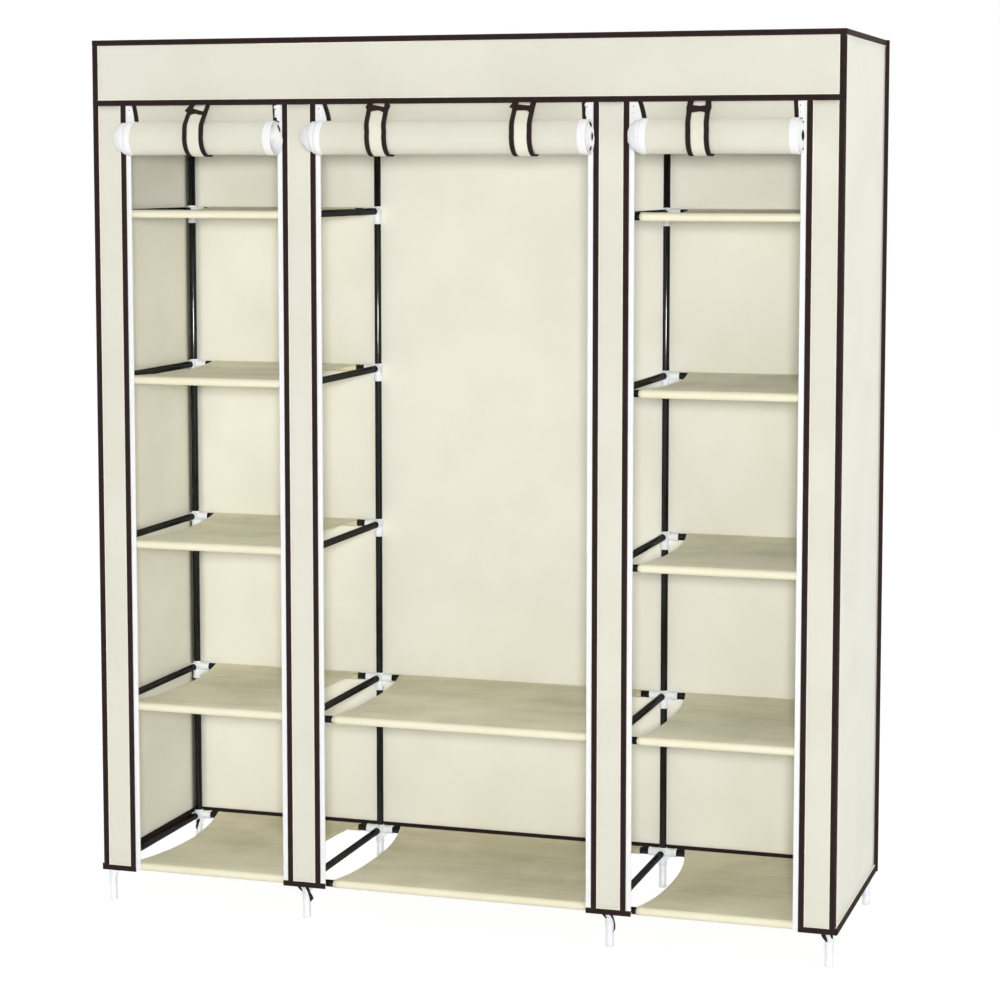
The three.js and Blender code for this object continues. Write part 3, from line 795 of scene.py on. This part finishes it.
tapes, teeth = Shape(), Shape()
for left, right in DOORS.values():
    for x, side in ((left, 1), (right, -1)):
        middle = x + side * TAPE / 2
        line = along((middle, front, HEM + 0.0005), (middle, front, FLAP_TOP))
        tapes.tape(line, X, -Y, TAPE, 0.0006, 0.0006)
        free = x + side * (TAPE - 0.0006)
        line = along((free, front, HEM + 0.004), (free, front, BAND - 0.001), TOOTH_PITCH)
        tooth_row(teeth, line, side)
dressed(tapes.piece("flap_zip_tapes", [zip_tape]))
dressed(teeth.piece("flap_zip_teeth", [zip_teeth], 20))


# Rolled doors, their flat part, straps and sliders
def panel_edge(name, side, height):
    """Where a door's edge is at this height: it leans as the cloth runs into its roll."""
    left, right = DOORS[name]
    start, lean, end, end_lean = DOOR_EDGES[name]
    fallen = np.clip((PANEL_TOP - height) / (PANEL_TOP - (ROLL_Z + ROLL - 0.001)), 0, 1.4)
    if side < 0:
        bend = math.pi / 2.6
        return left + start + lean * np.sin(np.minimum(fallen, 1.2) * bend) / math.sin(bend)
    return right - end + end_lean * fallen


def panel_depth(height):
    """How far out the flat part of a door hangs at this height."""
    return FRONT + SKIN - PANEL_LEAN * np.clip((PANEL_TOP - height) / (PANEL_TOP - ROLL_Z), 0, 1.05)


def door_trims(name, heights):
    """The bindings of a door's flat part, and its own halves of the zips' tapes."""
    trims, own_tapes = Shape(), Shape()
    for side, width in ((-1, 0.0092), (1, 0.0082)):
        x = panel_edge(name, side, heights)
        path = spots(x - side * width / 2, panel_depth(heights) - SKIN, heights)
        trims.tape(path, X, -Y, width, 0.0011, 0.0014)
        free, sewn = x + side * 0.0033, x - side * 0.0031
        if side < 0:
            free = DOORS[name][0] + TAPE + 0.0012
        middle = spots((free + sewn) / 2, panel_depth(heights) + 0.0002, heights)
        own_tapes.tape(middle, X, -Y, np.abs(free - sewn), 0.0006, 0.0004)
    return trims, own_tapes


def door_panel(name):
    heights = np.linspace(PANEL_TOP, PANEL_FOOT, 26)
    left, right = panel_edge(name, -1, heights), panel_edge(name, 1, heights)
    share = np.linspace(0, 1, 36)
    across = left[:, None] + (right - left)[:, None] * share
    depth = panel_depth(heights)[:, None] + ripple(len(name), across * 5, across * 0, 0.0004)
    skin = Shape()
    skin.grid(spots(across, depth, heights[:, None]))
    # Painted shade: the flat part takes the darker copy of the cover cloth
    cloth = thickened(skin.piece(f"{name}_shaded_door_cloth", [shaded_door_cloth], closed=False))
    trims, own_tapes = door_trims(name, heights)
    trim = trims.piece(f"{name}_door_bindings", [binding_tape])
    own = own_tapes.piece(f"{name}_door_zip_tapes", [zip_tape])
    for piece, slot in ((cloth, "cover_cloth"), (trim, "binding_tape"), (own, "zip_tape")):
        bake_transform(piece)
    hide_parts(f"{name}_door_panel")


def roll_spiral(name):
    """A roll's line, turn by turn to its core: angle, radius, share of the way in, and both ends."""
    x0, x1, creep, bluntness = ROLL_ENDS[name]
    count = ROLL_TURNS * TURN_STEPS + 1
    turn = np.arange(count) / TURN_STEPS * 2 * math.pi
    share = np.arange(count) / (count - 1)
    phases = np.random.default_rng(len(name)).uniform(0, 6.28, 8)
    slack = sum(np.sin(turn * (0.37 + 0.23 * i) + phases[i]) for i in range(4)) * 0.0003
    radius = ROLL - SKIN - (ROLL - ROLL_CORE) * share + slack * np.clip(share * 12, 0, 1)
    ledges = 7.4
    layer = share * ledges
    ledge = np.floor(layer) + np.clip((layer % 1 - 0.5) / 0.5, 0, 1)
    left_out = 1 - 0.85 * ledge / ledges
    creep_left = creep * (1 - left_out**bluntness)
    creep_right = creep * 0.6 * (1 - left_out**2)
    uneven = sum(np.sin(turn * (0.61 + 0.31 * i) + phases[4 + i]) for i in range(3)) * 0.0006
    uneven = uneven * np.clip(share * 8, 0, 1)
    ends = np.stack([x0 - creep_left + uneven, x1 - creep_right - uneven], 1)
    return turn, radius, share, ends


def roll_curls(name, radius, ends):
    """The edging that shows in curls at a roll's right-hand end."""
    curls = Shape()
    for start, end, mm, off in CURLS[name]:
        arc = np.linspace(start, end, 9)
        at = ROLL * off
        x = float(np.interp(-at, -radius, ends[:, 1])) + 0.0012
        outwards = spots(0, -np.cos(arc), np.sin(arc))
        path = outwards * at + (x, ROLL_Y, ROLL_Z)
        curls.tape(path, X, outwards, mm * MM * np.sin(np.linspace(0.35, 2.8, 9)), 0.0006, 0.0006)
    return curls


def door_roll(name):
    """The rolled part of a door: a spiral whose inner turns creep left, with white tape at both ends."""
    turn, radius, share, ends = roll_spiral(name)
    left_in = np.array([0, 0.003, 0.0085, 0.01, 0.0106, 0.06])
    right_in = np.array([0, 0.003, 0.014, 0.0158, 0.0164, 0.06])
    from_left = ends[:, :1] + left_in * (1 + np.clip(share * 8, 0, 1.4))[:, None]
    from_right = ends[:, 1:] - right_in[::-1]
    across = np.concatenate([from_left, ends.mean(1)[:, None], from_right], 1)
    columns = across.shape[1]
    bulge = 0.0007 * np.sin(np.linspace(0, math.pi, columns))[None] * (1 - share[:, None])
    lift, taped = np.zeros((2, columns))
    lift[:3] = lift[-3:] = 0.0003
    taped[:3] = taped[-4:] = 1
    out = radius[:, None] - bulge + lift
    depth, height = ROLL_Y + out * np.cos(turn)[:, None], ROLL_Z - out * np.sin(turn)[:, None]
    arc = 2 * math.pi / TURN_STEPS
    wound = np.concatenate([[0], np.cumsum(radius[1:] * arc)])
    spiral = Shape()
    spiral.grid(spots(across, depth, height), spots(wound[:, None], across, 0), taped)
    # Painted shade: the roll takes the darker copy of the cover cloth
    finishes = [shaded_door_cloth, zip_tape]
    roll = thickened(spiral.piece(f"{name}_door_rolled_cloth", finishes, 50, closed=False), 0.0009)
    body = f"{name}_door_roll"
    dressed(roll, [body], body)
    curls = roll_curls(name, radius, ends)
    curl = dressed(curls.piece(f"{name}_door_rolled_edging", [binding_tape]), body=body)
    for piece in (roll, curl):
        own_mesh(piece)


def strap_path():
    """A strap's line in depth and height: from the band's seam, round the roll and up behind the door."""
    wrap = ROLL + 0.0016
    seam = np.array([FRONT - 0.0020, PANEL_TOP])
    off = seam - (ROLL_Y, ROLL_Z)
    first = math.atan2(off[1], off[0]) + math.acos(wrap / np.hypot(*off))
    turns = np.linspace(first, 2 * math.pi, 34)
    ring = np.stack([ROLL_Y + wrap * np.cos(turns), ROLL_Z + wrap * np.sin(turns)], 1)
    front = seam + (ring[0] - seam) * np.linspace(0, 1, 8)[:-1, None]
    last = np.array([FRONT + 0.0022, PANEL_TOP])
    rear = ring[-1] + (last - ring[-1]) * np.linspace(0, 1, 6)[1:, None]
    return np.concatenate([front, ring, rear])


def strap_tab(shape, outline, path, run, out):
    """A strap's folded tab: a flat patch in front of the strap, close under the band's seam."""
    outline = np.array(outline) * MM
    middle = np.stack([np.interp(outline[:, 1], run, path[:, axis]) for axis in range(3)], 1)
    flat = middle + outline[:, :1] * X + out * 0.0009
    centre = flat.mean(0)
    near = flat + out * 0.0008
    shape.grid([flat, near, centre + (near - centre) * 0.985 + out * 0.0003], ring=True, lids=True)


def strap(name, number, x, seam_x, tab):
    line = strap_path()
    path = spots(x, *line.T)
    run, outwards = run_of(path), np.cross(heading(path), X)
    path[:, 0] += (seam_x - x) * np.clip(1 - run / STRAP_FALL, 0, 1)
    half = (STRAP - STRAP_EDGE) / 2
    inner = STRAP / 2 - STRAP_EDGE + 0.0012
    skin = Shape()
    skin.grid(path[:, None] + np.linspace(-inner, inner, 7)[None, :, None] * X)
    cloth = thickened(skin.piece(f"{name}_strap_{number}_cloth", [strap_cloth], 60, closed=False))
    edges = Shape()
    for side in (-1, 1):
        edges.tape(path + X * side * half, X, outwards, STRAP_EDGE, 0.0009, 0.0008)
    strap_tab(edges, tab, path, run, outwards[3])
    trim = edges.piece(f"{name}_strap_{number}_bindings", [binding_tape])
    dressed(cloth, [f"{name}_door_strap_{number}"])
    dressed(trim)
    for piece in (cloth, trim):
        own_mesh(piece)


def rounded(width, height, corner, centre, steps=5):
    """A rectangle with round corners, as points across and up."""
    points = []
    for quarter, (sx, sz) in enumerate(((1, 1), (-1, 1), (-1, -1), (1, -1))):
        x, z = centre[0] + sx * (width / 2 - corner), centre[1] + sz * (height / 2 - corner)
        for turn in np.linspace(0, math.pi / 2, steps) + quarter * math.pi / 2:
            points.append((x + corner * math.cos(turn), z + corner * math.sin(turn)))
    return np.array(points)


def plate(shape, outline, hole, near, far, soften=0.0003):
    """A flat moulded plate with a soft edge, and a round hole where one is given as (x, z, radius)."""
    centre = outline.mean(0)
    shrink = centre + (outline - centre) * (1 - soften / np.abs(outline - centre).max())
    rows = [(shrink, near), (outline, near + soften), (outline, far - soften), (shrink, far)]
    if hole:
        turn = np.arctan2(*(outline - hole[:2]).T[::-1])
        ring = np.stack([hole[0] + hole[2] * np.cos(turn), hole[1] + hole[2] * np.sin(turn)], 1)
        rows = [(ring, near), *rows, (ring, far), (ring, near)]
    points = np.array([[(x, y, z) for x, z in line] for line, y in rows])
    shape.grid(points, ring=True, lids=not hole)


def narrowed(outline, middle, share):
    """An outline drawn in towards its middle by the share given for each point."""
    outline[:, 0] = middle + (outline[:, 0] - middle) * share
    return outline


def slider(name, label, edge_x, side):
    """A zip slider on its tape: two plates and a bridge, and a puller with a hole that hangs from a loop;
    dark discs are painted shade in the hole and where the puller hangs in the loop.
    """
    top, bottom = SLIDER_TOP, SLIDER_TOP - SLIDER_HEIGHT
    middle = edge_x - (0.001 if side > 0 else 0.002)
    body = Shape()
    for near, far in ((-0.0018, -0.0004), (0.0016, 0.0030)):
        outline = rounded(SLIDER_WIDTH, SLIDER_HEIGHT, 0.0028, (middle, (top + bottom) / 2))
        outline = narrowed(outline, middle, 0.82 + 0.18 * (outline[:, 1] - bottom) / SLIDER_HEIGHT)
        plate(body, outline, None, FRONT + near, FRONT + far)
    bridge = sorted((edge_x + side * 0.0008, edge_x + side * 0.0017))
    corners = (bridge[0], FRONT - 0.0016, bottom + 0.002), (bridge[1], FRONT + 0.0028, top - 0.001)
    body.block(*corners, 0.0002)
    arc = np.linspace(0, math.pi, 9)
    drop = top - 0.0032 - 0.004 * (1 - np.cos(arc)) / 2
    path = spots(middle, FRONT - 0.0016 - 0.0017 * np.sin(arc), drop)
    body.tape(path, X, spots(0, -np.sin(arc), np.cos(arc)), 0.0022, 0.0004, 0.0004)
    puller = rounded(PULLER_WIDTH, PULLER_HEIGHT, 0.0024, (middle, top - 0.0185))
    puller = narrowed(puller, middle, 1 - 0.22 * np.clip((puller[:, 1] - (top - 0.019)) / 0.012, 0, 1))
    hole_z = top - 0.0192
    plate(body, puller, (middle, hole_z, PULLER_HOLE), FRONT - 0.0032, FRONT - 0.0020)
    # Painted shade: dark discs in the puller's hole and where it hangs in its loop
    dots = Shape()
    for depth, z, radius in ((FRONT - 0.0034, top - 0.0068, 0.0013), (FRONT - 0.0023, hole_z, PULLER_HOLE)):
        rim = [(0, radius * 0.98), (0.0002, radius * 0.98), (0.0003, radius * 0.7)]
        dots.turned((middle, depth + 0.0003, z), (middle, depth, z), rim, 16)
    base = f"{name}_door_{label}_slider"
    dressed(body.piece(base + "_body", [slider_plastic]), [base], base)
    dressed(dots.piece(base + "_holes", [painted_hole_shade]), body=base)


for name, (left, right) in DOORS.items():
    door_panel(name)
    door_roll(name)
    for number, (x, seam_x, tab) in enumerate(STRAPS[name], 1):
        strap(name, number, x, seam_x, tab)
    slider(name, "left", left + TAPE, 1)
    slider(name, "right", right - TAPE, -1)

ties = Shape()
for column, band in TIES:
    band = np.array(band) * MM
    smooth = np.linspace(0, len(band) - 1, 4 * len(band))
    across, down, width = (np.interp(smooth, np.arange(len(band)), line) for line in band.T)
    depth = FRONT - 0.0016 + np.clip(down, 0, 1) * 0.1
    ties.tape(spots(COLUMNS[column] + across, depth, HEM - down), X, -Y, width, 0.0007, 0.0003)
across, heights, widths = np.array(CORNER_TIE).T * MM
ties.tape(spots(COLUMNS[0] + across, ROWS[1] - 0.0112, heights), X, -Y, widths, 0.0008, 0.0006)
dressed(ties.piece("hem_ties", [binding_tape]))

# Floor, backdrop and light
WHITE = (1, 1, 1, 1)
FLOOR = 9.0
ground = Shape()
ground.grid([[(-FLOOR, y, 0), (FLOOR, y, 0)] for y in (-FLOOR, FLOOR)])
f = Finish("pale_floor")
matt = f.node("ShaderNodeBsdfDiffuse", values={"Color": (0.85, 0.85, 0.85, 1)})
glow = f.node("ShaderNodeEmission", values={"Color": WHITE, "Strength": 1.11})
mixed = f.node("ShaderNodeMixShader", values={0: f.background() * 0.84, 1: matt, 2: glow})
f.node("ShaderNodeOutputMaterial", values={"Surface": mixed})
ground.piece("floor", [f.block], closed=False)

bpy.context.scene.world = bpy.data.worlds.new("room")
f = Finish("room", bpy.context.scene.world)
strength = f.ranged(f.background(), 0.0, 1.0, 0.08, 1.0)
sky = f.node("ShaderNodeBackground", values={"Color": WHITE, "Strength": strength})
f.node("ShaderNodeOutputWorld", values={"Surface": sky})


def hung_lamp(light, strength):
    light.energy = strength
    return placed(light.name, light)


def lamp(name, azimuth, elevation, strength, softness):
    """A broad, distant studio light from that side and height."""
    light = bpy.data.lights.new(name, "SUN")
    light.angle = math.radians(softness)
    hung_lamp(light, strength).rotation_euler = (math.radians(90 - elevation), 0, math.radians(azimuth))


def flash(name, place, strength, size):
    """A soft lamp close to the camera, as bright far off as near: shadows fall behind what casts them."""
    light = bpy.data.lights.new(name, "POINT")
    light.shadow_soft_size, light.use_nodes = size, True
    nodes = light.node_tree.nodes
    falloff = nodes.new("ShaderNodeLightFalloff")
    falloff.inputs["Strength"].default_value = 1.0
    light.node_tree.links.new(falloff.outputs["Constant"], nodes["Emission"].inputs["Strength"])
    holder = hung_lamp(light, strength)
    holder.location, holder.visible_camera = place, False


flash("flash", (1.66, -5.15, 1.60), 24.0, 0.25)
lamp("side_low", 40, 2, 0.3, 50)
lamp("right_fill", 90, 4, 1.0, 50)
lamp("left_fill", -95, 4, 1.9, 50)
lamp("rear_fill", 178, 5, 1.95, 50)
lamp("top_fill", 0, 88, 1.3, 60)

bpy.context.scene.view_settings.view_transform = "Standard"
